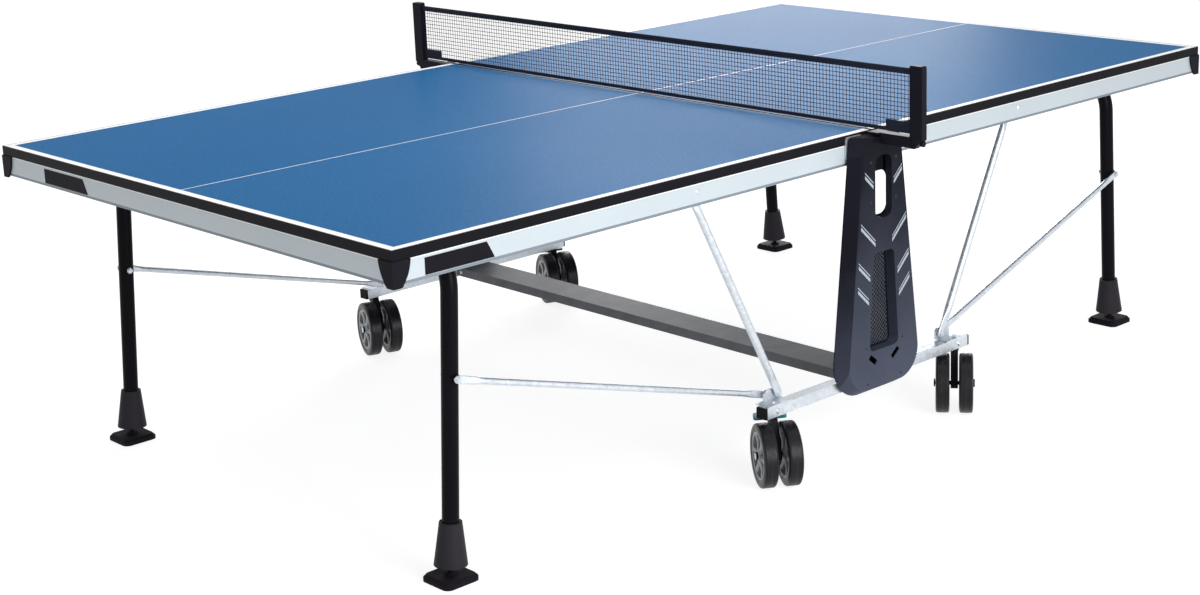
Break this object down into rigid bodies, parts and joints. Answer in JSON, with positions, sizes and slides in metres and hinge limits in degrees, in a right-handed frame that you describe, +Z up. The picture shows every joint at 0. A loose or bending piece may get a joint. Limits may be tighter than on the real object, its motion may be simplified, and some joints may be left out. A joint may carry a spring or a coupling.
{
  "type": "ping pong table",
  "caption": "Folding table tennis table on a wheeled centre frame, with halves that swing up for storage, fold-away legs, side towers, a net and swivelling casters.",
  "frame": {"origin": "on the floor under the middle of the net, at the centre of the open table", "axes": "+X along the length of the table, +Y across its width, +Z up"},
  "size_m": [2.745, 1.83, 0.9205],
  "materials": {
    "blue_board": "painted board, satin blue with white lines",
    "black_band": "matt black edging",
    "silver_apron": "light silver powder coat",
    "black_guard": "moulded black",
    "dark_brace": "dark grey powder coat",
    "zinc_steel": "zinc plated",
    "black_nylon": "moulded nylon",
    "black_tube": "satin black powder coat",
    "black_sleeve": "moulded black",
    "rubber_pad": "dense rubber",
    "grey_beam": "fine textured grey powder coat",
    "charcoal_tower": "fine grained charcoal",
    "black_guide": "moulded black",
    "dark_screw": "blackened",
    "black_mesh": "diamond patterned",
    "black_post": "moulded black",
    "net_weave": "square knotted weave",
    "net_tape": "woven tape",
    "black_fork": "moulded black",
    "tyre": "fine ribbed tread",
    "grey_hub": "moulded grey",
    "teal_pedal": "moulded teal"
  },
  "bodies": {
    "centre_frame": {"near_rail": "zinc_steel", "far_rail": "zinc_steel", "crossbeam": "grey_beam", "rail_plugs": "black_nylon", "link_brackets": "zinc_steel", "frame_bolts": "zinc_steel", "tower_guides": "black_guide", "near_tower_shell": "charcoal_tower", "far_tower_shell": "charcoal_tower", "tower_screws": "dark_screw", "ball_meshes": "black_mesh", "near_net_post": "black_post", "far_net_post": "black_post", "net_mesh": "net_weave", "net_top_tape": "net_tape", "net_lower_tape": "net_tape"},
    "right_carriage": {"right_sliders": "black_nylon"},
    "right_top": {"right_board": "blue_board", "right_edge_band": "black_band", "right_apron": "silver_apron", "right_corner_guards": "black_guard", "right_underframe": "dark_brace", "right_pivot_pins": "zinc_steel", "right_strut_bolts": "zinc_steel"},
    "right_legs": {"right_leg_frame": "black_tube", "right_foot_sleeves": "black_sleeve"},
    "right_strut_pair": {"right_struts": "zinc_steel"},
    "right_rod_pair": {"right_rods": "zinc_steel"},
    "near_right_foot": {"near_right_foot_pad": "rubber_pad"},
    "far_right_foot": {"far_right_foot_pad": "rubber_pad"},
    "left_carriage": {"left_sliders": "black_nylon"},
    "left_top": {"left_board": "blue_board", "left_edge_band": "black_band", "left_apron": "silver_apron", "left_corner_guards": "black_guard", "left_underframe": "dark_brace", "left_pivot_pins": "zinc_steel", "left_strut_bolts": "zinc_steel"},
    "left_legs": {"left_leg_frame": "black_tube", "left_foot_sleeves": "black_sleeve"},
    "left_strut_pair": {"left_struts": "zinc_steel"},
    "left_rod_pair": {"left_rods": "zinc_steel"},
    "near_left_foot": {"near_left_foot_pad": "rubber_pad"},
    "far_left_foot": {"far_left_foot_pad": "rubber_pad"},
    "near_left_swivel": {"near_left_caster_fork": "black_fork"},
    "near_left_wheels": {"near_left_tyres": "tyre", "near_left_hubs": "grey_hub"},
    "near_left_pedal": {"near_left_brake_pedal": "teal_pedal"},
    "near_right_swivel": {"near_right_caster_fork": "black_fork"},
    "near_right_wheels": {"near_right_tyres": "tyre", "near_right_hubs": "grey_hub"},
    "far_left_swivel": {"far_left_caster_fork": "black_fork"},
    "far_left_wheels": {"far_left_tyres": "tyre", "far_left_hubs": "grey_hub"},
    "far_right_swivel": {"far_right_caster_fork": "black_fork"},
    "far_right_wheels": {"far_right_tyres": "tyre", "far_right_hubs": "grey_hub"},
    "far_right_pedal": {"far_right_brake_pedal": "teal_pedal"},
    "near_knob": {"near_net_knob": "black_post"},
    "far_knob": {"far_net_knob": "black_post"}
  },
  "joints": [
    {"name": "right_carriage_slide", "type": "slide", "parent": "centre_frame", "child": "right_carriage", "axis": [0, 0, -1], "range_m": [0, 0.4932]},
    {"name": "right_top_fold", "type": "hinge", "parent": "right_carriage", "child": "right_top", "pos_m": [0.064, 0, 0.74], "axis": [0, -1, 0], "range_deg": [0, 90]},
    {"name": "right_leg_fold", "type": "hinge", "parent": "right_top", "child": "right_legs", "pos_m": [1.131, 0, 0.715], "axis": [0, 1, 0], "range_deg": [0, 87.73]},
    {"name": "right_strut_fold", "type": "hinge", "parent": "right_top", "child": "right_strut_pair", "pos_m": [0.56301, 0, 0.72], "axis": [0, 1, 0], "range_deg": [0, 41.9]},
    {"name": "right_rod_fold", "type": "hinge", "parent": "centre_frame", "child": "right_rod_pair", "pos_m": [0.3226, 0, 0.195], "axis": [0, -1, 0], "range_deg": [0, 87.89]},
    {"name": "near_right_foot_height", "type": "slide", "parent": "right_legs", "child": "near_right_foot", "axis": [0, 0, 1], "range_m": [0, 0.012]},
    {"name": "far_right_foot_height", "type": "slide", "parent": "right_legs", "child": "far_right_foot", "axis": [0, 0, 1], "range_m": [0, 0.012]},
    {"name": "left_carriage_slide", "type": "slide", "parent": "centre_frame", "child": "left_carriage", "axis": [0, 0, -1], "range_m": [0, 0.4932]},
    {"name": "left_top_fold", "type": "hinge", "parent": "left_carriage", "child": "left_top", "pos_m": [-0.064, 0, 0.74], "axis": [0, 1, 0], "range_deg": [0, 90]},
    {"name": "left_leg_fold", "type": "hinge", "parent": "left_top", "child": "left_legs", "pos_m": [-1.131, 0, 0.715], "axis": [0, -1, 0], "range_deg": [0, 87.73]},
    {"name": "left_strut_fold", "type": "hinge", "parent": "left_top", "child": "left_strut_pair", "pos_m": [-0.56301, 0, 0.72], "axis": [0, -1, 0], "range_deg": [0, 41.9]},
    {"name": "left_rod_fold", "type": "hinge", "parent": "centre_frame", "child": "left_rod_pair", "pos_m": [-0.3226, 0, 0.195], "axis": [0, 1, 0], "range_deg": [0, 87.89]},
    {"name": "near_left_foot_height", "type": "slide", "parent": "left_legs", "child": "near_left_foot", "axis": [0, 0, 1], "range_m": [0, 0.012]},
    {"name": "far_left_foot_height", "type": "slide", "parent": "left_legs", "child": "far_left_foot", "axis": [0, 0, 1], "range_m": [0, 0.012]},
    {"name": "near_left_swivel_turn", "type": "hinge", "parent": "centre_frame", "child": "near_left_swivel", "pos_m": [-0.33, -0.747, 0.15], "axis": [0, 0, 1], "continuous": true},
    {"name": "near_left_wheel_spin", "type": "hinge", "parent": "near_left_swivel", "child": "near_left_wheels", "pos_m": [-0.34743, -0.77384, 0.074], "axis": [0.8387, -0.5446, 0], "continuous": true},
    {"name": "near_left_brake_press", "type": "hinge", "parent": "near_left_swivel", "child": "near_left_pedal", "pos_m": [-0.31802, -0.72855, 0.143], "axis": [-0.8387, 0.5446, 0], "range_deg": [0, 12]},
    {"name": "near_right_swivel_turn", "type": "hinge", "parent": "centre_frame", "child": "near_right_swivel", "pos_m": [0.33, -0.747, 0.15], "axis": [0, 0, 1], "continuous": true},
    {"name": "near_right_wheel_spin", "type": "hinge", "parent": "near_right_swivel", "child": "near_right_wheels", "pos_m": [0.30478, -0.7667, 0.074], "axis": [0.6157, -0.788, 0], "continuous": true},
    {"name": "far_left_swivel_turn", "type": "hinge", "parent": "centre_frame", "child": "far_left_swivel", "pos_m": [-0.33, 0.747, 0.15], "axis": [0, 0, 1], "continuous": true},
    {"name": "far_left_wheel_spin", "type": "hinge", "parent": "far_left_swivel", "child": "far_left_wheels", "pos_m": [-0.34094, 0.71693, 0.074], "axis": [0.9397, -0.342, 0], "continuous": true},
    {"name": "far_right_swivel_turn", "type": "hinge", "parent": "centre_frame", "child": "far_right_swivel", "pos_m": [0.33, 0.747, 0.15], "axis": [0, 0, 1], "continuous": true},
    {"name": "far_right_wheel_spin", "type": "hinge", "parent": "far_right_swivel", "child": "far_right_wheels", "pos_m": [0.31698, 0.71777, 0.074], "axis": [0.9135, -0.4067, 0], "continuous": true},
    {"name": "far_right_brake_press", "type": "hinge", "parent": "far_right_swivel", "child": "far_right_pedal", "pos_m": [0.33895, 0.7671, 0.143], "axis": [-0.9135, 0.4067, 0], "range_deg": [0, 12]},
    {"name": "near_net_knob_turn", "type": "hinge", "parent": "centre_frame", "child": "near_knob", "pos_m": [0, -0.911, 0.745], "axis": [0, -1, 0], "continuous": true},
    {"name": "far_net_knob_turn", "type": "hinge", "parent": "centre_frame", "child": "far_knob", "pos_m": [0, 0.911, 0.745], "axis": [0, 1, 0], "continuous": true}
  ],
  "couplings": [
    {"joint": "right_carriage_slide", "follows": "right_top_fold", "m_per_rad": 0.31385},
    {"joint": "right_leg_fold", "follows": "right_top_fold", "ratio": 0.97423},
    {"joint": "right_strut_fold", "follows": "right_top_fold", "ratio": 0.46496},
    {"joint": "right_rod_fold", "follows": "right_top_fold", "ratio": 0.97605},
    {"joint": "left_carriage_slide", "follows": "left_top_fold", "m_per_rad": 0.31385},
    {"joint": "left_leg_fold", "follows": "left_top_fold", "ratio": 0.97423},
    {"joint": "left_strut_fold", "follows": "left_top_fold", "ratio": 0.46496},
    {"joint": "left_rod_fold", "follows": "left_top_fold", "ratio": 0.97605}
  ]
}
